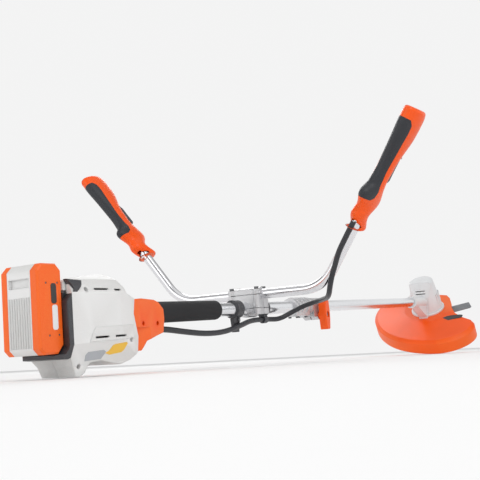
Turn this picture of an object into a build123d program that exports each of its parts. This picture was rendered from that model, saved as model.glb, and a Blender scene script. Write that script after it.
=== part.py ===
from build123d import *
import math
import os

# Battery brush cutter with bicycle handlebar.
# Working frame while modelling: X forward along the drive tube, Z up, Y to the
# operator's left, origin on the tube axis below the handlebar. Every finished
# piece is then set down on the ground by REST, so that the rear foot and the
# rim of the guard both touch z = 0 and the origin is the middle of the base.

# ---------------------------------------------------------------- driving sizes
TUBE_R, TUBE_WALL = 13.0, 1.6          # drive tubes
BAR_R, BAR_WALL = 9.5, 1.5             # handlebar tube
BAR_Z = 26.2                           # handlebar axis above the tube axis
BAR_HALF = 163.6                       # half of the straight middle of the bar
BAR_BEND_R = 78.0
UPPER_X0, UPPER_X1 = -352.0, 228.0     # rear tube
LOWER_X0, LOWER_X1 = 230.0, 1000.0     # front tube
FOAM_X0, FOAM_X1, FOAM_R = -300.0, -119.0, 17.5
HEAD_X = 1075.0                        # where the spindle axis meets the tube axis
HEAD_TILT = 28.0                       # spindle leaned back from the tube's normal
BLADE_T = -49.0                        # blade plane along the spindle
CONDUIT_R = 5.0
GROUND_TILT = 2.813                    # tube slope when the tool rests on the ground
RUN = 0.05                             # running clearance

os.makedirs("parts", exist_ok=True)
pieces = []                            # (label, builder) in order


def keep(builder, label):
    pieces.append((label, builder))


def xplane(x):
    """Plane across the tube at x, its own x along Y and its own y along Z."""
    return Plane(origin=(x, 0, 0), x_dir=(0, 1, 0), z_dir=(1, 0, 0))


# the plane of the spindle: own x forward, own y to the left, own z up the spindle
t = math.radians(HEAD_TILT)
HEAD = Plane(origin=(HEAD_X, 0, 0), x_dir=(math.cos(t), 0, math.sin(t)),
             z_dir=(-math.sin(t), 0, math.cos(t)))

# grip axis of the right hand (the left one mirrors it)
BAR_VERTEX = Vector(0, -BAR_HALF, BAR_Z)
BAR_END = Vector(-21.0, -366.0, 301.0)
GA = (BAR_END - BAR_VERTEX).normalized()          # along the grip
G0 = BAR_VERTEX + GA * 126.7           # lower end of the grip on the bar axis
GB = (Vector(1, 0, 0) - GA * GA.X).normalized()   # forwards, across the grip
GC = GA.cross(GB)                      # across the grip, outwards and down or inwards
if GC.Y > 0:
    GC = GC * -1


def gplane(s, b=0.0, c=0.0):
    """Cross plane of the right grip at s along it: own x forwards."""
    return Plane(origin=G0 + GA * s + GB * b + GC * c, x_dir=GB, z_dir=GA)


def gside(c=0.0):
    """Plane of the grip's split: own x forwards (b), own y up the grip (s)."""
    return Plane(origin=G0 + GC * c, x_dir=GB, z_dir=GB.cross(GA))


# ---------------------------------------------------------------- tubes
with BuildPart() as upper_tube:
    with BuildSketch(xplane(UPPER_X0)):
        Circle(TUBE_R)
        Circle(TUBE_R - TUBE_WALL, mode=Mode.SUBTRACT)
    extrude(amount=UPPER_X1 - UPPER_X0)
keep(upper_tube, "upper_tube")

with BuildPart() as lower_tube:
    with BuildSketch(xplane(LOWER_X0)):
        Circle(TUBE_R)
        Circle(TUBE_R - TUBE_WALL, mode=Mode.SUBTRACT)
    extrude(amount=LOWER_X1 - LOWER_X0)
    # detent hole for the coupler's lock pin
    with BuildSketch(Plane.XY.offset(TUBE_R + 2)):
        with Locations((256, 0)):
            Circle(3.3)
    extrude(amount=-6, mode=Mode.SUBTRACT)
keep(lower_tube, "lower_tube")

with BuildPart() as foam_sleeve:
    with BuildSketch(xplane(FOAM_X0)):
        Circle(FOAM_R)
        Circle(TUBE_R, mode=Mode.SUBTRACT)
    extrude(amount=FOAM_X1 - FOAM_X0)
    fillet(foam_sleeve.edges().filter_by(GeomType.CIRCLE).group_by(Axis.X)[-1].sort_by(SortBy.RADIUS)[-1], 3.6)
keep(foam_sleeve, "foam_sleeve")

with BuildPart() as handlebar_tube:
    bar_end_l = (-21.0, 366.0, 301.0)
    bar_end_r = (-21.0, -366.0, 301.0)
    with BuildLine() as bar_line:
        FilletPolyline(bar_end_l, (0, BAR_HALF, BAR_Z), (0, -BAR_HALF, BAR_Z), bar_end_r,
                       radius=BAR_BEND_R)
    with BuildSketch(Plane(origin=bar_end_l, z_dir=(bar_line.line % 0))):
        Circle(BAR_R)
        Circle(BAR_R - BAR_WALL, mode=Mode.SUBTRACT)
    sweep()
keep(handlebar_tube, "handlebar_tube")

# ---------------------------------------------------------------- handlebar clamp
# three aluminium castings stacked: base, block and cap, held by four long bolts
CL_X, CL_Y = 20.0, 37.0
BOLT_X, BOLT_Y = 13.5, 28.0


def clamp_outline():
    """Plan of the castings: a bar across the tube with round bosses at the bolts."""
    Rectangle(2 * CL_X - 6, 2 * CL_Y - 12)
    with GridLocations(2 * BOLT_X, 2 * BOLT_Y, 2, 2):
        Circle(7.6)


with BuildPart() as clamp_base:
    with BuildSketch(Plane.XY.offset(-0.6)):
        clamp_outline()
    extrude(amount=-11.5)
    with BuildSketch(Plane.YZ.offset(-CL_X + 3)):
        with Locations((0, 0)):
            Circle(17.0)
    extrude(amount=2 * CL_X - 6)
    with BuildSketch(Plane.YZ.offset(-40)):
        with Locations((0, 40 - 0.6)):
            Rectangle(120, 80)
    extrude(amount=80, mode=Mode.SUBTRACT)
    with BuildSketch(Plane.YZ.offset(-40)):
        Circle(TUBE_R)
    extrude(amount=80, mode=Mode.SUBTRACT)
    with BuildSketch(Plane.XY.offset(-40)):
        with GridLocations(2 * BOLT_X, 2 * BOLT_Y, 2, 2):
            Circle(2.5)
    extrude(amount=45, mode=Mode.SUBTRACT)
keep(clamp_base, "clamp_base")

with BuildPart() as clamp_block:
    with BuildSketch(Plane.XY.offset(0.6)):
        clamp_outline()
    extrude(amount=BAR_Z - 1.2)
    # the waist between the bosses is lighter at the sides
    with BuildSketch(Plane.YZ.offset(-40)):
        with Locations((0, -0.0)):
            Circle(TUBE_R)
    extrude(amount=80, mode=Mode.SUBTRACT)
    with BuildSketch(Plane.XZ.offset(-60)):
        with Locations((0, BAR_Z)):
            Circle(BAR_R)
    extrude(amount=120, mode=Mode.SUBTRACT)
    with BuildSketch(Plane.XY.offset(-5)):
        with GridLocations(2 * BOLT_X, 2 * BOLT_Y, 2, 2):
            Circle(2.5)
    extrude(amount=45, mode=Mode.SUBTRACT)
keep(clamp_block, "clamp_block")

with BuildPart() as clamp_cap:
    with BuildSketch(Plane.XY.offset(BAR_Z + 0.6)):
        clamp_outline()
    extrude(amount=9.4)
    with BuildSketch(Plane.XZ.offset(-(CL_Y - 6))):
        with Locations((0, BAR_Z)):
            Circle(BAR_R + 4.2)
    extrude(amount=2 * (CL_Y - 6))
    with BuildSketch(Plane.XZ.offset(-60)):
        with Locations((0, BAR_Z - 40 + 0.6)):
            Rectangle(80, 80)
        with Locations((0, BAR_Z)):
            Circle(BAR_R)
    extrude(amount=120, mode=Mode.SUBTRACT)
    with BuildSketch(Plane.XY.offset(-5)):
        with GridLocations(2 * BOLT_X, 2 * BOLT_Y, 2, 2):
            Circle(2.5)
    extrude(amount=80, mode=Mode.SUBTRACT)
keep(clamp_cap, "clamp_cap")

with BuildPart() as clamp_bolts:
    with BuildSketch(Plane.XY.offset(-12.1)):
        with GridLocations(2 * BOLT_X, 2 * BOLT_Y, 2, 2):
            Circle(2.5)
    extrude(amount=12.1 + BAR_Z + 10.0)
    with BuildSketch(Plane.XY.offset(BAR_Z + 10.0)):
        with GridLocations(2 * BOLT_X, 2 * BOLT_Y, 2, 2):
            Circle(4.4)
    extrude(amount=5.0)
    with BuildSketch(Plane.XY.offset(BAR_Z + 15.0)):
        with GridLocations(2 * BOLT_X, 2 * BOLT_Y, 2, 2):
            RegularPolygon(2.1, 6)
    extrude(amount=-2.6, mode=Mode.SUBTRACT)
keep(clamp_bolts, "clamp_bolts")

# ---------------------------------------------------------------- rear housing
HOUSE_W, WALL = 46.0, 2.6


def house_outline(d=0.0):
    """Side view of the white rear housing; d pulls it in by a wall."""
    with BuildLine() as l:
        Polyline((-528, 41), (-508, 49), (-486, 54), (-443, 57), (-431, 50), (-411, 28),
                 (-387, 20), (-392, -2), (-381, -36), (-385, -58), (-402, -69), (-423, -74),
                 (-444, -70), (-465, -65), (-488, -67), (-498, -80), (-506, -84), (-514, -84),
                 (-520, -70), (-528, -58), close=True)
    return l.edges()


def house_plan(w):
    with BuildLine() as l:
        Polyline((-540, -w), (-430, -w), (-380, -w + 12), (-370, -w + 12), (-370, w - 12),
                 (-380, w - 12), (-430, w), (-540, w), close=True)
    return l.edges()


def house_section(w, top, low):
    """Cross-section: crowned top, sides drawn in towards the foot."""
    with BuildLine() as l:
        Polyline((-w + 26, top), (-w + 8, top - 12), (-w, top - 30), (-w, -40), (-w + 13, -70),
                 (-w + 14, low), (w - 14, low), (w - 13, -70), (w, -40), (w, top - 30),
                 (w - 8, top - 12), (w - 26, top), close=True)
    return l.edges()


with BuildPart() as house:
    with BuildSketch(Plane.XZ):
        make_face(house_outline())
    extrude(amount=HOUSE_W, both=True)
    with BuildSketch(Plane.XY.offset(-100)):
        make_face(house_plan(HOUSE_W))
    extrude(amount=200, mode=Mode.INTERSECT)
    with BuildSketch(xplane(-600)):
        make_face(house_section(HOUSE_W, 60, -90))
    extrude(amount=300, mode=Mode.INTERSECT)
# shallow raised panel round the lower vents
with BuildPart() as house_relief:
    for s in (-1, 1):
        with BuildSketch(Plane.XZ.offset(s * 28)):
            with BuildLine():
                Polyline((-485, -19), (-396, -18), (-394, -38), (-498, -39), (-493, -28), close=True)
            make_face()
        extrude(amount=s * 20)
    with BuildSketch(Plane.XY.offset(-100)):
        make_face(house_plan(HOUSE_W + 0.9))
    extrude(amount=200, mode=Mode.INTERSECT)
    with BuildSketch(xplane(-600)):
        make_face(house_section(HOUSE_W + 0.9, 60, -90))
    extrude(amount=300, mode=Mode.INTERSECT)
with BuildPart() as house_skin:
    add(house.part)
    add(house_relief.part)
with BuildPart() as house_void:
    with BuildSketch(Plane.XZ):
        make_face(house_outline())
        offset(amount=-WALL, mode=Mode.REPLACE, kind=Kind.INTERSECTION)
    extrude(amount=HOUSE_W - WALL, both=True)
    with BuildSketch(Plane.XY.offset(-100)):
        make_face(house_plan(HOUSE_W - WALL))
    extrude(amount=200, mode=Mode.INTERSECT)
    with BuildSketch(xplane(-600)):
        make_face(house_section(HOUSE_W - WALL, 60 - WALL, -90))
    extrude(amount=300, mode=Mode.INTERSECT)

VENTS = [(-468, 34, 30), (-434, 33, 14), (-473, -33, 28), (-433, -33, 26)]


def house_half(side):
    with BuildPart() as half:
        add(house_skin.part)
        add(house_void.part, mode=Mode.SUBTRACT)
        # rear opening behind the battery cradle
        with BuildSketch(xplane(-531)):
            Rectangle(60, 70)
        extrude(amount=8, mode=Mode.SUBTRACT)
        # front opening into the collar
        with BuildSketch(xplane(-398)):
            with Locations((0, -8)):
                Rectangle(40, 40)
        extrude(amount=30, mode=Mode.SUBTRACT)
        for vx, vz, vl in VENTS:
            with BuildSketch(Plane.XZ):
                with Locations((vx, vz)):
                    SlotOverall(vl, 2.6)
            extrude(amount=80, both=True, mode=Mode.SUBTRACT)
        # screw bosses with their bores
        for sx, sz in ((-499, 33), (-509, -70), (-404, -40)):
            with BuildSketch(Plane.XZ):
                with Locations((sx, sz)):
                    Circle(5.0)
            extrude(amount=HOUSE_W - 1, both=True)
            with BuildSketch(Plane.XZ):
                with Locations((sx, sz)):
                    Circle(1.6)
            extrude(amount=60, both=True, mode=Mode.SUBTRACT)
            for s in (-1, 1):
                with BuildSketch(Plane.XZ.offset(s * 22.5)):
                    with Locations((sx, sz)):
                        Circle(3.6)
                extrude(amount=s * 40, mode=Mode.SUBTRACT)
        # pocket of the battery catches
        with BuildSketch(xplane(-531)):
            with Locations((0, 39)):
                Rectangle(72, 21)
        extrude(amount=13, mode=Mode.SUBTRACT)
        add(house_skin.part, mode=Mode.INTERSECT)
        split(bisect_by=Plane.XZ, keep=Keep.TOP if side < 0 else Keep.BOTTOM)
    return half


housing_right = house_half(-1)         # operator's right (-Y)
keep(housing_right, "housing_right")
housing_left = house_half(1)
keep(housing_left, "housing_left")

with BuildPart() as housing_screws:
    for sx, sz in ((-499, 33), (-509, -70), (-404, -40)):
        with BuildSketch(Plane.XZ.offset(22.5)):
            with Locations((sx, sz)):
                Circle(3.4)
        extrude(amount=3.0)
        with BuildSketch(Plane.XZ.offset(-18)):
            with Locations((sx, sz)):
                Circle(1.6)
        extrude(amount=40.5)

# black battery cradle: plate, side cheeks with upper horns, and lower shelf
with BuildPart() as battery_cradle:
    with BuildSketch(Plane.XZ):
        with BuildLine():
            Polyline((-533, 48), (-506, 46), (-510, 37), (-528, 20), (-528, -57), (-533, -59),
                     (-550, -57), (-550, -52), (-539, -51.5), (-536, -46), (-537, 18), (-523, 34),
                     close=True)
        make_face()
    extrude(amount=HOUSE_W, both=True)
    with BuildSketch(Plane.XY.offset(-100)):
        with BuildLine():
            Polyline((-560, -26), (-548, -30), (-536, -HOUSE_W), (-480, -HOUSE_W), (-480, HOUSE_W),
                     (-536, HOUSE_W), (-548, 30), (-560, 26), close=True)
        make_face()
    extrude(amount=200, mode=Mode.INTERSECT)
    with BuildSketch(Plane.XZ):
        with BuildLine():
            Polyline((-540, 60), (-500, 60), (-500, 30), (-528.01, 30), (-528.01, 22),
                     (-534, 22), (-534, -40), (-540, -46), close=True)
        make_face()
    extrude(amount=35.6, both=True, mode=Mode.SUBTRACT)
    with BuildSketch(xplane(-534)):
        Rectangle(70, 60)
        with Locations((0, 6)):
            Rectangle(44, 22, mode=Mode.SUBTRACT)
    extrude(amount=6)
    add(house.part, mode=Mode.SUBTRACT)
    with BuildSketch(xplane(-540)):
        with Locations((0, 6)):
            Rectangle(44, 22)
    extrude(amount=30, mode=Mode.SUBTRACT)
    with BuildSketch(xplane(-600)):
        make_face(house_section(HOUSE_W, 70, -90))
    extrude(amount=300, mode=Mode.INTERSECT)
keep(battery_cradle, "battery_cradle")

with BuildPart() as terminal_block:
    with BuildSketch(xplane(-533.5)):
        with Locations((0, 6)):
            Rectangle(43.6, 21.6)
    extrude(amount=14)
keep(terminal_block, "terminal_block")

with BuildPart() as controller_board:
    with BuildSketch(Plane.XY.offset(-26)):
        with Locations((-462, 0)):
            Rectangle(86, 62)
    extrude(amount=1.8)
keep(controller_board, "controller_board")

with BuildPart() as heat_sink:
    with BuildSketch(Plane.XY.offset(-24.2)):
        with Locations((-456, 0)):
            Rectangle(60, 50)
    extrude(amount=5)
    with BuildSketch(Plane.XY.offset(-19.2)):
        with Locations((-456, 0)):
            with GridLocations(0, 8, 1, 6):
                Rectangle(60, 2.4)
    extrude(amount=14)
keep(heat_sink, "heat_sink")

# orange collar that grips the tube and lets the control conduit out
def collar_side():
    with BuildLine() as l:
        Polyline((-386.6, 20), (-366, 21), (-326, 19), (-312, 15), (-298, 4), (-297, -12),
                 (-302, -33), (-326, -38), (-352, -44), (-366, -58), (-384.6, -58), (-380.6, -36),
                 (-391.6, -2), close=True)
    return l.edges()


def collar_plan():
    with BuildLine() as l:
        Polyline((-392, -34), (-376, -33), (-320, -23), (-296, -20), (-296, 20), (-320, 23),
                 (-376, 33), (-392, 34), close=True)
    return l.edges()


def collar_half(side):
    with BuildPart() as half:
        with BuildSketch(Plane.XZ):
            make_face(collar_side())
        extrude(amount=60, both=True)
        with BuildSketch(Plane.XY.offset(-100)):
            make_face(collar_plan())
        extrude(amount=200, mode=Mode.INTERSECT)
        with BuildSketch(xplane(-400)):
            RectangleRounded(110, 46, 15)
            with Locations((0, -20)):
                RectangleRounded(54, 90, 12)
        extrude(amount=120, mode=Mode.INTERSECT)
        add(house.part, mode=Mode.SUBTRACT)
        with BuildSketch(xplane(-420)):
            Circle(TUBE_R)
        extrude(amount=200, mode=Mode.SUBTRACT)
        # wiring space behind the end of the tube
        with BuildSketch(xplane(-420)):
            with Locations((0, -9)):
                RectangleRounded(34, 44, 6)
        extrude(amount=68, mode=Mode.SUBTRACT)
        # foam seats against the front face
        with BuildSketch(xplane(FOAM_X0)):
            Circle(FOAM_R + 0.3)
        extrude(amount=20, mode=Mode.SUBTRACT)
        # conduit outlet
        with BuildSketch(xplane(-353)):
            with Locations((-7, -27.0)):
                Circle(CONDUIT_R + 0.9)
        extrude(amount=80, mode=Mode.SUBTRACT)
        for sx in (-363, -318):
            with BuildSketch(Plane.XZ):
                with Locations((sx, -17 if sx < -340 else -18)):
                    Circle(1.6)
            extrude(amount=60, both=True, mode=Mode.SUBTRACT)
            with BuildSketch(Plane.XZ.offset(20 if sx < -340 else 14)):
                with Locations((sx, -17 if sx < -340 else -18)):
                    Circle(3.6)
            extrude(amount=30, mode=Mode.SUBTRACT)
        split(bisect_by=Plane.XZ, keep=Keep.TOP if side < 0 else Keep.BOTTOM)
    return half


collar_right = collar_half(-1)
keep(collar_right, "collar_right")
collar_left = collar_half(1)
keep(collar_left, "collar_left")

with BuildPart() as collar_screws:
    for sx, y0 in ((-363, 20), (-318, 14)):
        sz = -17 if sx < -340 else -18
        with BuildSketch(Plane.XZ.offset(y0)):
            with Locations((sx, sz)):
                Circle(3.4)
        extrude(amount=2.8)
        with BuildSketch(Plane.XZ.offset(-12)):
            with Locations((sx, sz)):
                Circle(1.6)
        extrude(amount=12 + y0)

# ---------------------------------------------------------------- battery
BX0, BX1, BZ0, BZ1, BW = -578.0, -534.6, -50.6, 69.0, 35.0


def pack_outline(d=0.0):
    with BuildLine() as l:
        Polyline((BX0 + d, BZ0 + 8), (BX0 + 8, BZ0 + d), (BX1 - 10, BZ0 + d), (BX1 - d, BZ0 + 11),
                 (BX1 - d, BZ1 - 9), (BX1 - 9, BZ1 - d), (BX0 + 9, BZ1 - d), (BX0 + d, BZ1 - 9),
                 close=True)
    return l.edges()


BAND = 22.0                            # half width of the light middle band


def pack_side(side):
    with BuildPart() as shell:
        with BuildSketch(Plane.XZ.offset(-side * BAND)):
            make_face(pack_outline())
        extrude(amount=-side * (BW - BAND), taper=0)
        chamfer(shell.faces().sort_by(Axis.Y)[0 if side < 0 else -1].edges(), 2.5)
        with BuildSketch(Plane.XZ.offset(-side * BAND)):
            make_face(pack_outline())
            offset(amount=-2.4, mode=Mode.REPLACE, kind=Kind.INTERSECTION)
        extrude(amount=-side * (BW - BAND - 2.6), mode=Mode.SUBTRACT)
        for sx, sz in ((-563, 43), (-543, 43), (-560, -26), (-543, -26)):
            with BuildSketch(Plane.XZ.offset(-side * 29.3)):
                with Locations((sx, sz)):
                    Circle(3.4)
            extrude(amount=-side * (BW - 29.3 - 1.0))
            with BuildSketch(Plane.XZ.offset(-side * BAND)):
                with Locations((sx, sz)):
                    Circle(1.5)
            extrude(amount=-side * (BW - BAND + 2), mode=Mode.SUBTRACT)
    return shell


battery_side_right = pack_side(-1)
keep(battery_side_right, "battery_side_right")
battery_side_left = pack_side(1)
keep(battery_side_left, "battery_side_left")

with BuildPart() as battery_band:
    with BuildSketch(Plane.XZ):
        make_face(pack_outline())
        offset(amount=-2.4, mode=Mode.SUBTRACT, kind=Kind.INTERSECTION)
    extrude(amount=BAND, both=True)
    # finger recess in the rear face
    with BuildSketch(xplane(BX0)):
        with Locations((0, 44)):
            Rectangle(38, 12)
    extrude(amount=2.6, mode=Mode.SUBTRACT)
    with BuildSketch(xplane(BX0 + 2.4)):
        with Locations((0, 44)):
            Rectangle(42, 16)
    extrude(amount=5)
    with BuildSketch(xplane(BX0)):
        with Locations((0, 44)):
            Rectangle(38, 12)
    extrude(amount=5.4, mode=Mode.SUBTRACT)
    # ribs down the rear face
    with BuildSketch(xplane(BX0)):
        with Locations((0, -8)):
            with GridLocations(4.6, 0, 9, 1):
                Rectangle(1.8, 66)
    extrude(amount=-1.2)
keep(battery_band, "battery_band")

with BuildPart() as battery_cells:
    with BuildSketch(Plane.XZ.offset(-29.0)):
        with Locations((-545, 2)):
            with GridLocations(0, 19, 1, 5):
                Circle(4.0)
        with Locations((-556, 2)):
            with GridLocations(18.6, 19, 1, 5):
                Circle(9.2)
    extrude(amount=58)
keep(battery_cells, "battery_cells")

with BuildPart() as battery_screws:
    for s in (-1, 1):
        for sx, sz in ((-563, 43), (-543, 43), (-560, -26), (-543, -26)):
            with BuildSketch(Plane.XZ.offset(s * 29.4)):
                with Locations((sx, sz)):
                    Circle(1.5)
            extrude(amount=s * 4.8)
keep(battery_screws, "battery_screws")

# release catch on top of the pack, pressed back to lift the pack out
with BuildPart() as battery_latch:
    with BuildSketch(Plane.XZ):
        with BuildLine():
            Polyline((-533.6, 33), (-533.6, 44), (-530, 47), (-525.5, 47), (-521, 41), (-521, 33),
                     close=True)
        make_face()
    extrude(amount=35, both=True)
    with BuildSketch(xplane(-560)):
        with Locations((0, 45)):
            Rectangle(52, 40)
    extrude(amount=80, mode=Mode.SUBTRACT)
keep(battery_latch, "battery_latch")

# ---------------------------------------------------------------- harness clamp and cable clip
with BuildPart() as harness_clamp:
    with BuildSketch(xplane(-63)):
        Circle(17.2)
        with Locations((0, -18)):
            Rectangle(7, 16)
    extrude(amount=20)
    with BuildSketch(Plane.XZ):
        with BuildLine():
            Polyline((-66, -17), (-39, -17), (-44, -30), (-46, -43), (-62, -43), (-64, -30), close=True)
        make_face()
    extrude(amount=3.0, both=True)
    with BuildSketch(xplane(-70)):
        Circle(TUBE_R)
    extrude(amount=40, mode=Mode.SUBTRACT)
    with BuildSketch(Plane.XZ):
        with Locations((-54, -33.5)):
            Circle(6.0)
        with Locations((-47, -21)):
            Circle(1.6)
    extrude(amount=20, both=True, mode=Mode.SUBTRACT)
    # slit that lets the ring close on the tube
    with BuildSketch(xplane(-70)):
        with Locations((0, 16)):
            Rectangle(1.6, 10)
    extrude(amount=40, mode=Mode.SUBTRACT)
keep(harness_clamp, "harness_clamp")

with BuildPart() as harness_screw:
    with BuildSketch(Plane.XZ.offset(3.5)):
        with Locations((-47, -21)):
            Circle(3.2)
    extrude(amount=2.4)
    with BuildSketch(Plane.XZ.offset(-8)):
        with Locations((-47, -21)):
            Circle(1.6)
    extrude(amount=11.5)

with BuildPart() as cable_clip:
    with BuildSketch(xplane(44)):
        Circle(15.8)
        with Locations((-2, -22.5)):
            Circle(7.8)
        with Locations((-1, -14)):
            Rectangle(12, 12)
        Circle(TUBE_R, mode=Mode.SUBTRACT)
        with Locations((-2, -22.5)):
            Circle(CONDUIT_R + 0.5, mode=Mode.SUBTRACT)
        with Locations((0, 14)):
            Rectangle(1.4, 8, mode=Mode.SUBTRACT)
    extrude(amount=13)
keep(cable_clip, "cable_clip")

# ---------------------------------------------------------------- split coupler
KX, KZ = 272.0, -20.5                  # wing bolt: X and height

with BuildPart() as coupler_body:
    with BuildSketch(xplane(168)):
        Circle(18.6)
    extrude(amount=136)
    with BuildSketch(xplane(168)):
        with Locations((0, -12)):
            RectangleRounded(30, 18, 4)
    extrude(amount=64)
    # raised bands
    for rx in (178, 196, 216, 236):
        with BuildSketch(xplane(rx)):
            Circle(20.4)
        extrude(amount=6)
    # clamping lugs under the front half
    with BuildSketch(Plane.XZ.offset(-18)):
        with Locations((KX, -14)):
            Rectangle(52, 20)
        with Locations((KX, KZ)):
            Circle(10.5)
    extrude(amount=36)
    with BuildSketch(xplane(160)):
        Circle(TUBE_R)
    extrude(amount=69, mode=Mode.SUBTRACT)
    with BuildSketch(xplane(229)):
        Circle(TUBE_R + RUN)
    extrude(amount=90, mode=Mode.SUBTRACT)
    # slit between the lugs
    with BuildSketch(xplane(246)):
        with Locations((0, -22)):
            Rectangle(3.2, 24)
    extrude(amount=70, mode=Mode.SUBTRACT)
    with BuildSketch(Plane.XZ.offset(-30)):
        with Locations((KX, KZ)):
            Circle(3.05)
    extrude(amount=60, mode=Mode.SUBTRACT)
    # two clamping screws of the rear half, from below
    with BuildSketch(Plane.XY.offset(-30)):
        with Locations((182, 9), (182, -9), (222, 9), (222, -9)):
            Circle(1.9)
    extrude(amount=14.0, mode=Mode.SUBTRACT)
keep(coupler_body, "coupler_body")

with BuildPart() as coupler_screws:
    with BuildSketch(Plane.XY.offset(-21.0)):
        with Locations((182, 9), (182, -9), (222, 9), (222, -9)):
            Circle(1.9)
    extrude(amount=5.0)
    with BuildSketch(Plane.XY.offset(-24.2)):
        with Locations((182, 9), (182, -9), (222, 9), (222, -9)):
            Circle(3.4)
    extrude(amount=3.2)
with BuildPart() as clamp_screws:
    add(coupler_screws.part)
    add(harness_screw.part)
keep(clamp_screws, "clamp_screws")

with BuildPart() as wing_knob:
    with BuildSketch(Plane.XZ.offset(22.5)):
        with BuildLine():
            Polyline((KX - 10, KZ + 30), (KX + 9, KZ + 32), (KX + 11, KZ + 8), (KX + 11, KZ - 8),
                     (KX + 7, KZ - 33), (KX - 9, KZ - 33), (KX - 11, KZ - 8), (KX - 11, KZ + 8),
                     close=True)
        make_face()
    extrude(amount=17)
    fillet(wing_knob.edges().filter_by(Axis.Y), 3.0)
    fillet(wing_knob.faces().sort_by(Axis.Y)[0].edges(), 2.4)
    with BuildSketch(Plane.XZ.offset(32)):
        with Locations((KX, KZ)):
            Circle(6.5)
    extrude(amount=20, mode=Mode.SUBTRACT)
    with BuildSketch(Plane.XZ.offset(18.4)):
        with Locations((KX, KZ)):
            Circle(8.5)
    extrude(amount=4.1)
    with BuildSketch(Plane.XZ.offset(0)):
        with Locations((KX, KZ)):
            Circle(3.0)
    extrude(amount=60, mode=Mode.SUBTRACT)
keep(wing_knob, "wing_knob")

with BuildPart() as wing_bolt:
    with BuildSketch(Plane.XZ.offset(-25.5)):
        with Locations((KX, KZ)):
            Circle(3.0)
    extrude(amount=25.5 + 36)
    with BuildSketch(Plane.XZ.offset(32)):
        with Locations((KX, KZ)):
            RegularPolygon(5.4, 6)
    extrude(amount=4.6)
keep(wing_bolt, "wing_bolt")

with BuildPart() as coupler_nut:
    with BuildSketch(Plane.XZ.offset(-18.0)):
        with Locations((KX, KZ)):
            RegularPolygon(5.6, 6)
            Circle(3.05, mode=Mode.SUBTRACT)
    extrude(amount=-5)
keep(coupler_nut, "coupler_nut")

with BuildPart() as coupler_socket:
    with BuildSketch(xplane(204)):
        Circle(TUBE_R - TUBE_WALL)
        Circle(4.1, mode=Mode.SUBTRACT)
    extrude(amount=24)
keep(coupler_socket, "coupler_socket")

with BuildPart() as coupler_plug:
    with BuildSketch(xplane(230)):
        Circle(TUBE_R - TUBE_WALL)
    extrude(amount=22)
    with BuildSketch(xplane(211)):
        Circle(4.0)
    extrude(amount=19)
keep(coupler_plug, "coupler_plug")

# power leads inside the tubes, straight runs from housing to socket and plug to motor
with BuildPart() as power_lead_rear:
    with BuildSketch(xplane(-380)):
        Circle(3.6)
    extrude(amount=584)
keep(power_lead_rear, "power_lead_rear")

with BuildPart() as power_lead_front:
    with BuildSketch(xplane(252)):
        Circle(3.6)
    extrude(amount=770)
keep(power_lead_front, "power_lead_front")

# ---------------------------------------------------------------- head
def hplane(tt):
    return HEAD.offset(tt)


def pod_solid(shrink=0.0):
    with BuildPart() as p:
        with BuildSketch(hplane(-21)):
            Circle(46 - shrink)
        with BuildSketch(hplane(74 - shrink)):
            Circle(37 - shrink)
        loft()
        fillet(p.faces().sort_by(Axis(HEAD.origin, HEAD.z_dir))[-1].edges(), 7 - shrink)
        side = Plane(origin=HEAD.origin, x_dir=HEAD.x_dir, z_dir=(0, -1, 0))
        with BuildSketch(side):
            with BuildLine():
                Polyline((-80, -30), (-46 + shrink, -30), (-40 + shrink, 0), (-34.5 + shrink, 30),
                         (-13 + shrink, 78), (-13 + shrink, 120), (-80, 120), close=True)
            make_face()
        extrude(amount=80, both=True, mode=Mode.SUBTRACT)
    return p


pod = pod_solid()
pod_void = pod_solid(2.6)
SIDE = Plane(origin=HEAD.origin, x_dir=HEAD.x_dir, z_dir=(0, -1, 0))


def pod_half(side):
    with BuildPart() as half:
        add(pod.part)
        add(pod_void.part, mode=Mode.SUBTRACT)
        # cooling slots in the rear facet
        for st, sl in ((50, 30), (42, 30)):
            with BuildSketch(Plane(origin=HEAD.from_local_coords((-60, 0, st)), x_dir=(0, 1, 0),
                                   z_dir=HEAD.x_dir)):
                Rectangle(sl, 2.6)
            extrude(amount=45, mode=Mode.SUBTRACT)
        # ribs on the flank
        for k in range(4):
            a = 64 + 14 * k
            for s in (-1, 1):
                o = HEAD.from_local_coords((43.2 * math.cos(math.radians(a)),
                                            s * 43.2 * math.sin(math.radians(a)), -18))
                with BuildSketch(Plane(origin=o, x_dir=HEAD.x_dir, z_dir=HEAD.z_dir)):
                    Circle(2.6)
                extrude(amount=46)
        add(pod_void.part, mode=Mode.SUBTRACT)
        # the tube's power lead comes in here
        with BuildSketch(xplane(1000)):
            Circle(6)
        extrude(amount=45, mode=Mode.SUBTRACT)
        split(bisect_by=Plane.XZ, keep=Keep.TOP if side < 0 else Keep.BOTTOM)
    return half


pod_right = pod_half(-1)
keep(pod_right, "pod_right")
pod_left = pod_half(1)
keep(pod_left, "pod_left")

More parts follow.
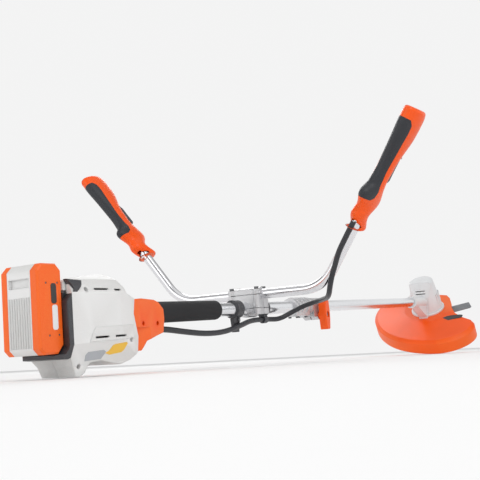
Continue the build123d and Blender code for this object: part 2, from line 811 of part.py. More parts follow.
with BuildPart() as head_base:
    with BuildSketch(hplane(-27)):
        Circle(51)
        with Locations((-48, 0)):
            Rectangle(24, 26)
    extrude(amount=6)
    fillet(head_base.faces().sort_by(Axis(HEAD.origin, HEAD.z_dir))[-1].edges(), 1.6)
    # stem from the flange up to the tube clamp
    with BuildSketch(SIDE):
        with BuildLine():
            l = [HEAD.to_local_coords(Vector(x, 0, z)) for x, z in ((940, -10), (940, 6), (1040, 6))]
            Polyline((-58, -24), (l[0].X + 10, l[0].Z), (l[1].X, l[1].Z), (l[2].X, l[2].Z),
                     (-30, -24), close=True)
        make_face()
    extrude(amount=12, both=True)
    with BuildSketch(xplane(934)):
        Circle(17.5)
    extrude(amount=106)
    add(pod.part, mode=Mode.SUBTRACT)
    with BuildSketch(xplane(900)):
        Circle(TUBE_R)
    extrude(amount=LOWER_X1 - 900, mode=Mode.SUBTRACT)
    with BuildSketch(xplane(990)):
        Circle(6)
    extrude(amount=80, mode=Mode.SUBTRACT)
    # lower bearing seat and fixing holes
    with BuildSketch(hplane(-30)):
        Circle(11)
        with PolarLocations(40, 4, start_angle=45):
            Circle(2.0)
    extrude(amount=30, mode=Mode.SUBTRACT)
keep(head_base, "head_base")

with BuildPart() as motor_can:
    with BuildSketch(hplane(-21)):
        Circle(29.5)
    extrude(amount=49)
    with BuildSketch(hplane(-18)):
        Circle(27.5)
    extrude(amount=42, mode=Mode.SUBTRACT)
    with BuildSketch(hplane(-25)):
        Circle(11)
    extrude(amount=80, mode=Mode.SUBTRACT)
    with BuildSketch(hplane(20)):
        with PolarLocations(19, 5):
            Circle(4.0)
    extrude(amount=12, mode=Mode.SUBTRACT)
keep(motor_can, "motor_can")

with BuildPart() as bearings:
    for bt, bh in ((-27, 9), (22, 6)):
        with BuildSketch(hplane(bt)):
            Circle(11)
            Circle(6.03, mode=Mode.SUBTRACT)
        extrude(amount=bh)
keep(bearings, "bearings")

with BuildPart() as stator:
    with BuildSketch(hplane(-14)):
        Circle(27.5)
        Circle(16.0, mode=Mode.SUBTRACT)
        with PolarLocations(20.5, 12):
            RectangleRounded(5, 3.6, 1.1, mode=Mode.SUBTRACT)
    extrude(amount=34)
keep(stator, "stator")

with BuildPart() as rotor:
    with BuildSketch(hplane(-14)):
        Circle(15.4)
        Circle(6.0, mode=Mode.SUBTRACT)
    extrude(amount=34)
keep(rotor, "rotor")

with BuildPart() as spindle:
    with BuildSketch(hplane(-72)):
        Circle(6.0)
    extrude(amount=101)
keep(spindle, "spindle")

BLADE_Z0, BLADE_Z1 = BLADE_T - 1.1, BLADE_T + 1.1
with BuildPart() as thrust_flange:
    with BuildSketch(hplane(BLADE_Z1)):
        Circle(24)
        Circle(6.0, mode=Mode.SUBTRACT)
    extrude(amount=5)
    with BuildSketch(hplane(BLADE_Z1 + 5)):
        Circle(15)
        Circle(6.0, mode=Mode.SUBTRACT)
    extrude(amount=9.5)
keep(thrust_flange, "thrust_flange")

ARM0 = -67.0                            # the arm that shows in front of the guard
with BuildSketch() as blade_arm:
    with BuildLine():
        Polyline((0, -26), (44, -21), (124, -20), (129, -15), (128, 18), (44, 20), (0, 26), close=True)
    make_face()
with BuildPart() as blade:
    with BuildSketch(hplane(BLADE_Z0)):
        Circle(34)
        with PolarLocations(0, 3, start_angle=ARM0):
            add(blade_arm.sketch)
        Circle(6.0, mode=Mode.SUBTRACT)
    extrude(amount=2.2)
keep(blade, "blade")

with BuildPart() as rider_cup:
    with BuildSketch(hplane(BLADE_Z0)):
        Circle(25)
    extrude(amount=-13, taper=22)
    with BuildSketch(hplane(BLADE_Z0 - 3)):
        Circle(15)
    extrude(amount=-14, mode=Mode.SUBTRACT)
    with BuildSketch(hplane(BLADE_Z0 + 1)):
        Circle(6.0)
    extrude(amount=-20, mode=Mode.SUBTRACT)
keep(rider_cup, "rider_cup")

with BuildPart() as blade_nut:
    with BuildSketch(hplane(BLADE_Z0 - 3)):
        RegularPolygon(9.8, 6)
        Circle(6.0, mode=Mode.SUBTRACT)
    extrude(amount=-10)
keep(blade_nut, "blade_nut")

# guard: a low dome under the head that turns down into a skirt behind the blade
GUARD_PTS = [(-70, -152), (-122, -156), (-161, -128), (-184, -80), (-184, -25), (-173, 22),
             (-150, 72), (-116, 116), (-66, 156), (0, 184), (46, 190)]
FRONT_PTS = [(130, 186), (240, 120), (200, -160), (20, -260)]


def guard_shell(levels):
    """Nested plan curves, each (height, scale), joined by straight rulings."""
    with BuildPart() as g:
        for gt, k in levels:
            with BuildSketch(hplane(gt)):
                with BuildLine():
                    Spline(*[(x * k, y * k) for x, y in GUARD_PTS])
                    Polyline(*[(x * k, y * k) for x, y in [GUARD_PTS[-1]] + FRONT_PTS + [GUARD_PTS[0]]])
                make_face()
        loft(ruled=True)
    return g


guard_outer = guard_shell([(-78, 1.0), (-47, 1.0), (-38, 0.94), (-27, 0.42)])
guard_inner = guard_shell([(-80, 0.984), (-48, 0.984), (-40.6, 0.922), (-30.2, 0.40)])
with BuildPart() as guard:
    add(guard_outer.part)
    add(guard_inner.part, mode=Mode.SUBTRACT)
    with BuildSketch(hplane(-100)):
        with BuildLine():
            Polyline((-70, -150), (-105, -230), (-300, -300), (-300, 300), (70, 300), (80, 184),
                     (92, 150), (100, 60), (98, 0), (86, -41), (63, -56), (23, -70), (0, -75),
                     (-32, -91), (-52, -114), close=True)
        make_face()
    extrude(amount=100, mode=Mode.INTERSECT)
    with BuildSketch(hplane(-60)):
        Circle(15.8)
        with PolarLocations(40, 4, start_angle=45):
            Circle(2.0)
    extrude(amount=60, mode=Mode.SUBTRACT)
keep(guard, "guard")

with BuildPart() as guard_screws:
    with BuildSketch(hplane(-30.4)):
        with PolarLocations(40, 4, start_angle=45):
            Circle(2.0)
    extrude(amount=9.2)
    with BuildSketch(hplane(-33.4)):
        with PolarLocations(40, 4, start_angle=45):
            Circle(3.8)
    extrude(amount=3.0)
keep(guard_screws, "guard_screws")

# ---------------------------------------------------------------- grips
# stations up the grip: distance, centre forwards, half depth, half width
STATIONS = [(0, -3.5, 20.5, 14.0), (20, -1.5, 20.5, 15.0), (38, 0.0, 23.0, 15.0),
            (54, 3.5, 33.0, 15.6), (67, -2.0, 37.0, 16.0), (80, -1.5, 28.0, 15.6),
            (95, 1.0, 19.0, 14.8), (116, 2.6, 18.0, 14.8), (144, 4.0, 22.0, 15.5),
            (163, 7.0, 27.5, 16.4), (187, 9.0, 33.0, 17.4), (210, 8.0, 34.0, 18.0),
            (234, 2.0, 30.0, 16.6)]


def grip_solid(shrink=0.0, cut0=0.0, cut1=0.0):
    with BuildPart() as g:
        for i, (s, b, bb, cc) in enumerate(STATIONS):
            s = s + (cut0 if i == 0 else 0) - (cut1 if i == len(STATIONS) - 1 else 0)
            with BuildSketch(gplane(s, b)):
                Ellipse(bb - shrink, cc - shrink)
        loft()
    return g


grip_outer = grip_solid()
with BuildPart() as grip_full:
    add(grip_outer.part)
    fillet(grip_full.faces().sort_by(Axis(G0, GA))[-1].edges(), 6)
grip_inner = grip_solid(2.8, 5.0, 3.5)
grip_under = grip_solid(1.8)


def stadium():
    """Side outline of the rubber pad: the rear of the grip, round at both ends."""
    with BuildLine() as l:
        Polyline((-70, 60), (-22, 60), (-14, 66), (-10, 78), (-9, 100), (-9, 190), (-11, 204),
                 (-18, 213), (-70, 216), close=True)
    return l.edges()


with BuildPart() as grip_pad_r:
    add(grip_outer.part)
    add(grip_under.part, mode=Mode.SUBTRACT)
    with BuildSketch(gside()):
        make_face(stadium())
    extrude(amount=40, both=True, mode=Mode.INTERSECT)

TRIG_S, TRIG_B = 146.0, 21.0           # trigger pivot
LOCK_S, LOCK_B = 196.0, 12.0           # thumb lock-out button


def grip_half(outer):
    with BuildPart() as half:
        add(grip_full.part)
        add(grip_inner.part, mode=Mode.SUBTRACT)
        # saddles that hold the bar
        for s, b, bb, cc in ((34, -1, 21, 13.6), (83, -1, 24, 14.0), (177, 8, 29, 15.6), (206, 8, 32, 16.4)):
            with BuildSketch(gplane(s, b)):
                Ellipse(bb, cc)
            extrude(amount=4)
        add(grip_pad_r.part, mode=Mode.SUBTRACT)
        with BuildSketch(gplane(-20)):
            Circle(BAR_R)
        extrude(amount=236, mode=Mode.SUBTRACT)
        with BuildSketch(gplane(-4, -14.7, 0)):
            Circle(CONDUIT_R + 0.1)
        extrude(amount=20, mode=Mode.SUBTRACT)
        # trigger window in the front
        with BuildSketch(gplane(92, 30)):
            Rectangle(36, 14.4)
        extrude(amount=61, mode=Mode.SUBTRACT)
        # pin bosses
        with BuildSketch(gside(-40)):
            with Locations((TRIG_B, TRIG_S)):
                Circle(1.5)
        extrude(amount=80, mode=Mode.SUBTRACT)
        with BuildSketch(gside()):
            with Locations((24, 178), (14, 212)):
                Circle(1.5)
        extrude(amount=40, both=True, mode=Mode.SUBTRACT)
        split(bisect_by=Plane(origin=G0, z_dir=GC), keep=Keep.TOP if outer else Keep.BOTTOM)
    return half


outer_full = grip_half(True)
with BuildPart() as grip_right_outer:
    add(outer_full.part.solids().sort_by(SortBy.VOLUME)[-1].fix())
inner_full = grip_half(False)
with BuildPart() as grip_right_inner:
    add(inner_full.part.solids().sort_by(SortBy.VOLUME)[-1].fix())
    # bore of the lock-out button
    with BuildSketch(Plane(origin=G0 + GA * LOCK_S + GB * LOCK_B, x_dir=GB, z_dir=GC * -1)):
        Circle(6.06)
    extrude(amount=40, mode=Mode.SUBTRACT)
keep(grip_right_outer, "grip_right_outer")
keep(grip_right_inner, "grip_right_inner")
with BuildPart() as grip_right_pad:
    add(grip_pad_r.part.solids().sort_by(SortBy.VOLUME)[-1].fix())
keep(grip_right_pad, "grip_right_pad")


def mirrored(source):
    with BuildPart() as m:
        add(source.part.solids().sort_by(SortBy.VOLUME)[-1].mirror(Plane.XZ).fix())
    return m


grip_left_outer = mirrored(outer_full)
keep(grip_left_outer, "grip_left_outer")
grip_left_inner = mirrored(inner_full)
keep(grip_left_inner, "grip_left_inner")
grip_left_pad = mirrored(grip_pad_r)
keep(grip_left_pad, "grip_left_pad")

with BuildPart() as grip_screws_r:
    for b, s in ((24, 178), (14, 212)):
        with BuildSketch(gside(-11)):
            with Locations((b, s)):
                Circle(1.5)
        extrude(amount=-24 if GB.cross(GA).dot(GC) < 0 else 24)
with BuildPart() as grip_screws:
    add(grip_screws_r.part)
    add(grip_screws_r.part.mirror(Plane.XZ))
with BuildPart() as casing_screws:
    add(housing_screws.part)
    add(collar_screws.part)
    add(grip_screws.part)
keep(casing_screws, "casing_screws")


def trigger_side():
    with BuildLine() as l:
        Polyline((TRIG_B - 5, TRIG_S + 5), (TRIG_B + 5, TRIG_S + 5), (TRIG_B + 11, TRIG_S - 6),
                 (32, 118), (33, 100), (29, 95), (24, 97), (18.5, 110), (17, 124),
                 (TRIG_B - 5, TRIG_S - 8), close=True)
    return l.edges()


with BuildPart() as throttle_trigger:
    with BuildSketch(gside()):
        make_face(trigger_side())
    extrude(amount=6.4, both=True)
    with BuildSketch(gside()):
        with Locations((TRIG_B, TRIG_S)):
            Circle(1.55)
    extrude(amount=30, both=True, mode=Mode.SUBTRACT)
keep(throttle_trigger, "throttle_trigger")

with BuildPart() as trigger_pin:
    with BuildSketch(gside()):
        with Locations((TRIG_B, TRIG_S)):
            Circle(1.5)
    extrude(amount=12.5, both=True)
keep(trigger_pin, "trigger_pin")

with BuildPart() as trigger_switch:
    with BuildSketch(gside()):
        with Locations((12.6, 164)):
            Rectangle(5.4, 22)
    extrude(amount=4, both=True)
    with BuildSketch(gplane(90)):
        Circle(BAR_R)
    extrude(amount=90, mode=Mode.SUBTRACT)
keep(trigger_switch, "trigger_switch")

with BuildPart() as trigger_blank:
    with BuildSketch(gside()):
        make_face(trigger_side())
    extrude(amount=7.2, both=True)
    with BuildSketch(gside()):
        with Locations((TRIG_B, TRIG_S)):
            Circle(1.5)
    extrude(amount=30, both=True, mode=Mode.SUBTRACT)
trigger_blank = mirrored(trigger_blank)
keep(trigger_blank, "trigger_blank")

with BuildPart() as lockout_button:
    with BuildSketch(Plane(origin=G0 + GA * LOCK_S + GB * LOCK_B - GC * 12.5, x_dir=GB, z_dir=GC * -1)):
        Circle(6.0)
    extrude(amount=8.5)
    fillet(lockout_button.faces().sort_by(Axis(G0, GC * -1))[-1].edges(), 1.2)
keep(lockout_button, "lockout_button")

# ---------------------------------------------------------------- control conduit
end_axis = G0 + GB * -14.7             # where it enters the right grip
ROUTE = [(-348, -7, -26.5), (-292, -7, -26.5), (-228, -9, -35), (-165, -10, -41.5),
         (-105, -10, -40.5), (-52, -10, -31.5), (2, -2, -22.5), (64, -2, -22.5), (96, -12, -24.5),
         (116, -29, -13), (127, -51, -2), (127, -76, 4), (114, -100, 7), (92, -117, 8),
         (62, -135, 8), (32, -154, 8), (4, -172, 13), (-14, -184, 28), (-21, -193, 46),
         (-20.5, -201, 65), tuple(G0 + GA * -50 + GB * -16 + GC * 1.5),
         tuple(end_axis + GA * -22), tuple(end_axis + GA * 11)]


def arc_radii(pts):
    v = [Vector(*p) for p in pts]
    out = []
    for a, b, c in zip(v, v[1:], v[2:]):
        turn = math.radians((b - a).get_angle(c - b))
        out.append(0.45 * min((b - a).length, (c - b).length) / math.tan(turn / 2))
    return out


RADII = arc_radii(ROUTE)
with BuildPart() as control_conduit:
    with BuildLine() as route_line:
        FilletPolyline(*ROUTE, radius=RADII)
    with BuildSketch(Plane(origin=ROUTE[0], z_dir=(1, 0, 0))):
        Circle(CONDUIT_R)
    sweep()
keep(control_conduit, "control_conduit")

# ---------------------------------------------------------------- set down and write
tilt = Location((0, 0, 0), (0, -GROUND_TILT, 0))
box = Compound(children=[b.part.moved(tilt) for _, b in pieces]).bounding_box()
REST = Location((-(box.min.X + box.max.X) / 2, -(box.min.Y + box.max.Y) / 2, -box.min.Z)) * tilt
for label, builder in pieces:
    placed = builder.part.moved(REST)
    placed.label = label
    export_step(placed, f"parts/{label}.step")
print("nodes", len(pieces))
print("rest", REST.position.X, REST.position.Y, REST.position.Z, "size", box.size)
print("conduit length", route_line.wires()[0].length, "volume ratio",
      control_conduit.part.volume / (math.pi * CONDUIT_R ** 2 * route_line.wires()[0].length))
print("conduit radii", [round(r) for r in RADII])
for part_label, b in pieces:
    if part_label in ("housing_right", "guard"):
        print(part_label, b.part.moved(REST).bounding_box())
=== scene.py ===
import bpy, bmesh, math, random
from mathutils import Vector, Matrix


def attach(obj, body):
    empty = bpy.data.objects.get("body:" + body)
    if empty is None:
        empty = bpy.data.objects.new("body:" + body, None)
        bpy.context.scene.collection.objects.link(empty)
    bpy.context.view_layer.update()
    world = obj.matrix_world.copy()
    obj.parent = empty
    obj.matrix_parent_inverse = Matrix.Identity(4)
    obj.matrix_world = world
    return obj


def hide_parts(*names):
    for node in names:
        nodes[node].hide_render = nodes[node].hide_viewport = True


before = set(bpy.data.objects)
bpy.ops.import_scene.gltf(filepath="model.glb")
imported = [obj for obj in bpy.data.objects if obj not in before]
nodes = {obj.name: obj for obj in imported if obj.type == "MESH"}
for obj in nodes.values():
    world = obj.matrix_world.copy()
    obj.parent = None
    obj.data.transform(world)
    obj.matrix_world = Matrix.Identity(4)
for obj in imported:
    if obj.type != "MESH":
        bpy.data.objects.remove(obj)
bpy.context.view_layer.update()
scene = bpy.context.scene

# ------------------------------------------------------------ frames
TILT = math.radians(-2.813)
T = Vector((-0.30101075, 0.0, 0.10969910))
ROT = Matrix.Rotation(TILT, 3, "Y")


def S(x, y, z):
    """A point of the drive tube's frame, in mm, in the row frame."""
    return ROT @ Vector((x / 1000, y / 1000, z / 1000)) + T


TH = math.radians(28)
H = Vector((1075, 0, 0))
E1 = Vector((math.cos(TH), 0, math.sin(TH)))
HN = Vector((-math.sin(TH), 0, math.cos(TH)))


def HP(u, v, t):
    p = H + E1 * u + Vector((0, 1, 0)) * v + HN * t
    return S(*p)


# ------------------------------------------------------------ camera
cam_data = bpy.data.cameras.new("camera")
cam = bpy.data.objects.new("camera", cam_data)
scene.collection.objects.link(cam)
cam_data.sensor_width = 36
cam_data.lens = 759.668 / 480 * 36
cam_data.clip_start = 0.05
cam_data.clip_end = 50
r = Vector((0.5321916, -0.8451650, -0.0496824))
u = Vector((-0.1046356, -0.1238941, 0.9867632))
d = Vector((0.8401331, 0.5199485, 0.1543697))
m = Matrix((r, u, -d)).transposed().to_4x4()
m.translation = Vector((-1.57146, -0.77360, 0.0140))
cam.matrix_world = m
scene.camera = cam
scene.view_settings.view_transform = "Standard"


# ------------------------------------------------------------ materials
def material(name, base, rough=0.45, metal=0.0, grain=400.0, bump=0.12, mottle=0.05, mottle_scale=9.0,
             rough_var=0.08, edge=0.0006, spec=0.5, coat=0.0, wear=None, stretch=None, dist=0.0002):
    mt = bpy.data.materials.new(name)
    mt.use_nodes = True
    nt = mt.node_tree
    nt.nodes.clear()
    out = nt.nodes.new("ShaderNodeOutputMaterial")
    bs = nt.nodes.new("ShaderNodeBsdfPrincipled")
    nt.links.new(bs.outputs[0], out.inputs[0])
    bs.inputs["Metallic"].default_value = metal
    bs.inputs["Specular IOR Level"].default_value = spec
    bs.inputs["Coat Weight"].default_value = coat
    tc = nt.nodes.new("ShaderNodeTexCoord")
    src = tc.outputs["Object"]
    if stretch:
        mp = nt.nodes.new("ShaderNodeMapping")
        mp.inputs["Scale"].default_value = stretch
        nt.links.new(src, mp.inputs["Vector"])
        fine_src = mp.outputs[0]
    else:
        fine_src = src
    big = nt.nodes.new("ShaderNodeTexNoise")
    big.inputs["Scale"].default_value = mottle_scale
    big.inputs["Detail"].default_value = 6
    nt.links.new(src, big.inputs["Vector"])
    fine = nt.nodes.new("ShaderNodeTexNoise")
    fine.inputs["Scale"].default_value = grain
    fine.inputs["Detail"].default_value = 3
    nt.links.new(fine_src, fine.inputs["Vector"])
    ramp = nt.nodes.new("ShaderNodeValToRGB")
    lo = [max(0, c * (1 - mottle)) for c in base[:3]] + [1]
    hi = [min(1, c * (1 + mottle)) for c in base[:3]] + [1]
    ramp.color_ramp.elements[0].position = 0.3
    ramp.color_ramp.elements[0].color = lo
    ramp.color_ramp.elements[1].position = 0.72
    ramp.color_ramp.elements[1].color = hi
    nt.links.new(big.outputs[0], ramp.inputs[0])
    colour = ramp.outputs[0]
    if wear:
        geo = nt.nodes.new("ShaderNodeNewGeometry")
        wr = nt.nodes.new("ShaderNodeValToRGB")
        wr.color_ramp.elements[0].position = 0.53
        wr.color_ramp.elements[0].color = (0, 0, 0, 1)
        wr.color_ramp.elements[1].position = 0.62
        wr.color_ramp.elements[1].color = (1, 1, 1, 1)
        nt.links.new(geo.outputs["Pointiness"], wr.inputs[0])
        mul = nt.nodes.new("ShaderNodeMath")
        mul.operation = "MULTIPLY"
        nt.links.new(wr.outputs[0], mul.inputs[0])
        nt.links.new(fine.outputs[0], mul.inputs[1])
        mix = nt.nodes.new("ShaderNodeMixRGB")
        nt.links.new(mul.outputs[0], mix.inputs[0])
        nt.links.new(colour, mix.inputs[1])
        mix.inputs[2].default_value = (*wear, 1)
        colour = mix.outputs[0]
    nt.links.new(colour, bs.inputs["Base Color"])
    rr = nt.nodes.new("ShaderNodeMapRange")
    rr.inputs["To Min"].default_value = max(0.02, rough - rough_var)
    rr.inputs["To Max"].default_value = min(1, rough + rough_var)
    nt.links.new(big.outputs[0], rr.inputs["Value"])
    nt.links.new(rr.outputs[0], bs.inputs["Roughness"])
    bp = nt.nodes.new("ShaderNodeBump")
    bp.inputs["Strength"].default_value = bump
    bp.inputs["Distance"].default_value = dist
    nt.links.new(fine.outputs[0], bp.inputs["Height"])
    if edge > 0:
        bv = nt.nodes.new("ShaderNodeBevel")
        bv.samples = 4
        bv.inputs["Radius"].default_value = edge
        nt.links.new(bv.outputs[0], bp.inputs["Normal"])
    nt.links.new(bp.outputs[0], bs.inputs["Normal"])
    return mt


ORANGE = (0.93, 0.095, 0.002)
M = {
    "white": material("white_abs", (0.80, 0.80, 0.795), 0.38, grain=900, bump=0.10, mottle=0.02, edge=0.0022, wear=(0.60, 0.60, 0.58)),
    "orange": material("orange_abs", ORANGE, 0.36, grain=900, bump=0.10, mottle=0.05, edge=0.0014, spec=0.35, wear=(0.95, 0.20, 0.03)),
    "orange_soft": material("orange_abs_guard", ORANGE, 0.40, grain=700, bump=0.12, mottle=0.07, edge=0.0024, spec=0.35, wear=(0.95, 0.20, 0.03)),
    "black": material("black_nylon", (0.018, 0.019, 0.022), 0.42, grain=900, bump=0.18, mottle=0.12, edge=0.0010, wear=(0.09, 0.09, 0.10)),
    "rubber": material("soft_rubber", (0.020, 0.022, 0.028), 0.52, grain=1500, bump=0.35, mottle=0.15, edge=0.0012),
    "conduit": material("conduit_sleeve", (0.022, 0.023, 0.028), 0.40, grain=600, bump=0.25, mottle=0.15, edge=0),
    "foam": material("cell_foam", (0.014, 0.014, 0.016), 0.80, grain=1800, bump=0.9, mottle=0.25, edge=0.0015, dist=0.0004),
    "tube": material("anodised_tube", (0.80, 0.81, 0.83), 0.20, 1.0, grain=220, bump=0.05, mottle=0.03, edge=0.0003, stretch=(1, 14, 14), rough_var=0.05),
    "bar": material("polished_bar", (0.78, 0.78, 0.80), 0.17, 1.0, grain=260, bump=0.04, mottle=0.03, edge=0.0003, rough_var=0.05),
    "cast": material("tumbled_casting", (0.62, 0.62, 0.63), 0.42, 0.85, grain=500, bump=0.35, mottle=0.10, edge=0.0012, dist=0.0004),
    "pod": material("pod_grey", (0.74, 0.75, 0.76), 0.40, 0.0, grain=800, bump=0.12, mottle=0.03, edge=0.0020, wear=(0.74, 0.74, 0.74)),
    "steel": material("zinc_steel", (0.52, 0.52, 0.54), 0.30, 1.0, grain=300, bump=0.10, mottle=0.08, edge=0.0004),
    "dark_steel": material("black_oxide", (0.075, 0.08, 0.085), 0.40, 0.7, grain=500, bump=0.15, mottle=0.15, edge=0.0004, wear=(0.3, 0.3, 0.31)),
    "blade": material("blade_steel", (0.11, 0.125, 0.135), 0.36, 0.9, grain=260, bump=0.12, mottle=0.12, edge=0.0004, stretch=(1, 10, 1), wear=(0.4, 0.4, 0.42)),
    "copper": material("winding_copper", (0.72, 0.34, 0.16), 0.35, 1.0, grain=500, bump=0.3),
    "board": material("solder_resist", (0.02, 0.18, 0.07), 0.35, grain=300, bump=0.2, mottle=0.2),
    "cell": material("cell_sleeve", (0.06, 0.22, 0.5), 0.35, grain=300, bump=0.05),
    "silver_label": material("grey_label", (0.42, 0.44, 0.47), 0.30, grain=200, bump=0.02, edge=0),
    "yellow_label": material("yellow_label", (0.88, 0.52, 0.05), 0.30, grain=200, bump=0.02, edge=0),
    "dark_label": material("dark_label", (0.035, 0.032, 0.032), 0.28, grain=200, bump=0.02, edge=0),
    "white_label": material("white_label", (0.82, 0.82, 0.83), 0.28, grain=200, bump=0.02, edge=0),
    "slot": material("slot_shadow", (0.05, 0.05, 0.055), 0.7, grain=200, bump=0.02, edge=0),
}
PICK = {
    "battery_band": "white", "battery_latch": "white", "battery_cradle": "black", "terminal_block": "black",
    "harness_clamp": "black", "cable_clip": "black", "coupler_socket": "black", "coupler_plug": "black",
    "trigger_switch": "black", "throttle_trigger": "black", "trigger_blank": "black",
    "lockout_button": "black", "control_conduit": "conduit", "power_lead_rear": "conduit",
    "power_lead_front": "conduit", "grip_right_pad": "rubber", "grip_left_pad": "rubber", "foam_sleeve": "foam",
    "upper_tube": "tube", "lower_tube": "tube", "handlebar_tube": "bar", "heat_sink": "cast",
    "motor_can": "cast", "clamp_base": "cast", "clamp_block": "cast", "clamp_cap": "cast",
    "coupler_body": "cast", "casing_screws": "dark_steel", "clamp_screws": "dark_steel",
    "battery_screws": "dark_steel", "clamp_bolts": "dark_steel", "wing_bolt": "steel", "coupler_nut": "steel",
    "trigger_pin": "steel", "bearings": "steel", "spindle": "steel", "thrust_flange": "steel",
    "rider_cup": "steel", "blade_nut": "steel", "guard_screws": "steel", "rotor": "steel",
    "blade": "blade", "stator": "copper", "controller_board": "board", "battery_cells": "cell",
    "head_base": "pod", "guard": "orange_soft",
}


def pick(name):
    if name in PICK:
        return M[PICK[name]]
    if name.startswith("housing"):
        return M["white"]
    if name.startswith("pod_"):
        return M["pod"]
    return M["orange"]


for name, o in nodes.items():
    mt = pick(name)
    if not o.material_slots:
        o.data.materials.append(mt)
    for s in o.material_slots:
        s.material = mt


def finish_mesh(name, bm, mt, body, smooth=True, bevel=0.0, subsurf=0):
    me = bpy.data.meshes.new(name)
    bm.to_mesh(me)
    bm.free()
    o = bpy.data.objects.new(name, me)
    scene.collection.objects.link(o)
    me.materials.append(mt)
    for p in me.polygons:
        p.use_smooth = smooth
    if bevel:
        b = o.modifiers.new("bevel", "BEVEL")
        b.width = bevel
        b.segments = 3
        b.limit_method = "ANGLE"
        b.angle_limit = math.radians(35)
        b.harden_normals = True
    if subsurf:
        ss = o.modifiers.new("sub", "SUBSURF")
        ss.levels = ss.render_levels = subsurf
    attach(o, body)
    return o


# ------------------------------------------------------------ control conduit
ROUTE = [(-348, -7, -26.5), (-292, -7, -26.5), (-228, -9, -35), (-165, -10, -41.5),
         (-105, -10, -40.5), (-52, -10, -31.5), (2, -2, -22.5), (64, -2, -22.5), (96, -12, -24.5),
         (116, -29, -13), (127, -51, -2), (127, -76, 4), (114, -100, 7), (92, -117, 8),
         (62, -135, 8), (32, -154, 8), (4, -172, 13), (-14, -184, 28), (-21, -193, 46),
         (-20.5, -201, 65), (-20.68, -209.63, 86.16),
         (-21.1, -225.04, 109.62), (-23.13, -244.57, 136.14)]
cu = bpy.data.curves.new("conduit_sleeve", "CURVE")
cu.dimensions = "3D"
sp = cu.splines.new("NURBS")
sp.points.add(len(ROUTE) - 1)
for p, q in zip(sp.points, ROUTE):
    p.co = (*S(*q), 1)
sp.order_u = 3
sp.use_endpoint_u = True
sp.resolution_u = 8
cu.bevel_depth = 0.005
cu.bevel_resolution = 6
cu.use_fill_caps = True
cu.materials.append(M["conduit"])
conduit = bpy.data.objects.new("conduit_sleeve", cu)
scene.collection.objects.link(conduit)
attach(conduit, "shaft_assembly")
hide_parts("control_conduit")


# ------------------------------------------------------------ small plates (blank labels)
def plate(name, outline, mt, body, place, thick=0.0005):
    """A thin blank label with rounded outline; place maps (a, b, height in mm) to the row frame."""
    bm = bmesh.new()
    low = [bm.verts.new(place(a, b, 0.05)) for a, b in outline]
    high = [bm.verts.new(place(a, b, 0.05 + thick * 1000)) for a, b in outline]
    bm.faces.new(low[::-1])
    bm.faces.new(high)
    n = len(outline)
    for i in range(n):
        bm.faces.new((low[i], low[(i + 1) % n], high[(i + 1) % n], high[i]))
    bmesh.ops.recalc_face_normals(bm, faces=bm.faces)
    return finish_mesh(name, bm, mt, body, smooth=False)


def rounded(cx, cy, w, h, r, slant=0.0, n=6):
    pts = []
    for sx, sy, a0 in ((1, 1, 0), (-1, 1, 90), (-1, -1, 180), (1, -1, 270)):
        for k in range(n + 1):
            a = math.radians(a0 + 90 * k / n)
            y = cy + sy * (h / 2 - r) + r * math.sin(a)
            x = cx + sx * (w / 2 - r) + r * math.cos(a)
            pts.append((x + slant * (y - cy), y))
    return pts


def side_r(y0):
    return lambda a, b, c: S(a, y0 - c, b)


plate("battery_label_dark", rounded(-550.5, 29, 9.5, 27, 3.5), M["dark_label"], "battery", side_r(-35.0))
plate("battery_label_light", rounded(-549.5, -2.5, 9.5, 33, 3.5), M["white_label"], "battery", side_r(-35.0))
plate("battery_label_dark_left", rounded(-550.5, 29, 9.5, 27, 3.5), M["dark_label"], "battery",
      lambda a, b, c: S(a, 35.0 + c, b))
plate("battery_label_light_left", rounded(-549.5, -2.5, 9.5, 33, 3.5), M["white_label"], "battery",
      lambda a, b, c: S(a, 35.0 + c, b))


LOWN = (-0.9174, -0.3976)


def low_side(a, b, c):
    """The drawn-in lower flank of the housing, b down the slope."""
    return S(a, -46 + 0.3976 * b + LOWN[0] * c, -40 - 0.9174 * b + LOWN[1] * c)


plate("rating_plate_blank", [(-501, 17), (-497, 13), (-466, 12), (-461, 15), (-468, 25), (-500, 26)],
      M["silver_label"], "shaft_assembly", low_side)
plate("badge_blank", [(-462, 17), (-455, 14), (-449, 6), (-444, 4.5), (-421, 3), (-418, 5), (-423, 15),
                      (-428, 18), (-452, 20)], M["yellow_label"], "shaft_assembly", low_side)


def guard_top(u, v):
    k = math.hypot(u, v) / 197
    return -27 - 11 * max(0.0, k - 0.42) / 0.52


bm = bmesh.new()
NU, NV = 6, 14
grid = []
for i in range(NU + 1):
    row = []
    for j in range(NV + 1):
        a = i / NU
        b = j / NV
        uu = -88 + 30 * a + 3 * math.sin(math.pi * b)
        vv = -118 + 58 * b
        squeeze = 1 - 0.5 * abs(2 * b - 1) ** 6
        uu = -72 + (uu + 72) * squeeze * (1 - 0.4 * (1 - b)) + 22 * (1 - b)
        row.append(bm.verts.new(HP(uu, vv, guard_top(uu, vv) + 0.35)))
    grid.append(row)
for i in range(NU):
    for j in range(NV):
        bm.faces.new((grid[i][j], grid[i + 1][j], grid[i + 1][j + 1], grid[i][j + 1]))
lab = finish_mesh("guard_label_blank", bm, M["dark_label"], "cutting_head")
so = lab.modifiers.new("thick", "SOLIDIFY")
so.thickness = 0.0003

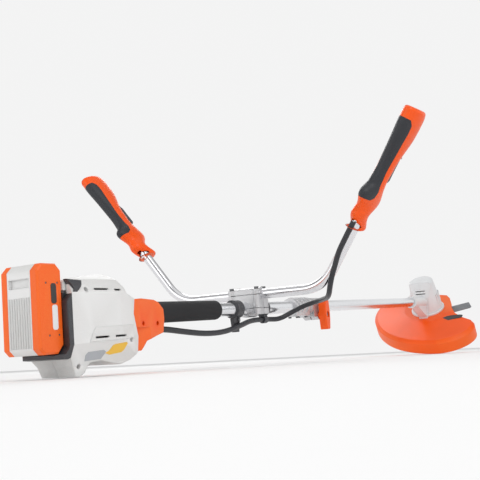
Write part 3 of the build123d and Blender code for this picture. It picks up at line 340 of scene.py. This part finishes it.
# ------------------------------------------------------------ stage
bm = bmesh.new()
bmesh.ops.create_grid(bm, x_segments=1, y_segments=1, size=12)
me = bpy.data.meshes.new("floor")
bm.to_mesh(me)
bm.free()
floor = bpy.data.objects.new("floor", me)
scene.collection.objects.link(floor)
floor.location = (0, 0, -0.0005)
fm = bpy.data.materials.new("floor")
fm.use_nodes = True
fb = fm.node_tree.nodes["Principled BSDF"]
fb.inputs["Base Color"].default_value = (0.95, 0.95, 0.95, 1)
fb.inputs["Roughness"].default_value = 0.9
me.materials.append(fm)

world = bpy.data.worlds.new("world")
scene.world = world
world.use_nodes = True
wt = world.node_tree
bg = wt.nodes["Background"]
tc = wt.nodes.new("ShaderNodeTexCoord")
sep = wt.nodes.new("ShaderNodeSeparateXYZ")
mr = wt.nodes.new("ShaderNodeMapRange")
mr.inputs["From Min"].default_value = -1
mr.inputs["From Max"].default_value = 1
sky = wt.nodes.new("ShaderNodeValToRGB")
wt.links.new(tc.outputs["Generated"], sep.inputs[0])
wt.links.new(sep.outputs["Z"], mr.inputs["Value"])
wt.links.new(mr.outputs[0], sky.inputs[0])
wt.links.new(sky.outputs[0], bg.inputs[0])
bg.inputs[1].default_value = 1.0
stops = [(0.0, 0.80), (0.49, 0.90), (0.73, 0.90), (0.77, 0.30), (0.86, 0.36), (0.96, 0.85)]
els = sky.color_ramp.elements
els[0].position, els[0].color = stops[0][0], (stops[0][1],) * 3 + (1,)
els[1].position, els[1].color = stops[-1][0], (stops[-1][1],) * 3 + (1,)
for pos, v in stops[1:-1]:
    e = els.new(pos)
    e.color = (v, v, v, 1)


def area(name, loc, target, size, power, size_y=None):
    l = bpy.data.lights.new(name, "AREA")
    l.energy = power
    l.size = size
    if size_y:
        l.shape = "RECTANGLE"
        l.size_y = size_y
    o = bpy.data.objects.new(name, l)
    scene.collection.objects.link(o)
    o.location = loc
    o.rotation_euler = (Vector(target) - Vector(loc)).to_track_quat("-Z", "Y").to_euler()
    return o


area("key", (-1.6, -2.2, 2.6), (0, 0, 0.1), 1.6, 34)
area("fill", (-2.6, 1.2, 1.2), (0, 0, 0.1), 1.8, 9)
area("rim", (1.8, 1.8, 2.2), (0, 0, 0.1), 1.4, 22)
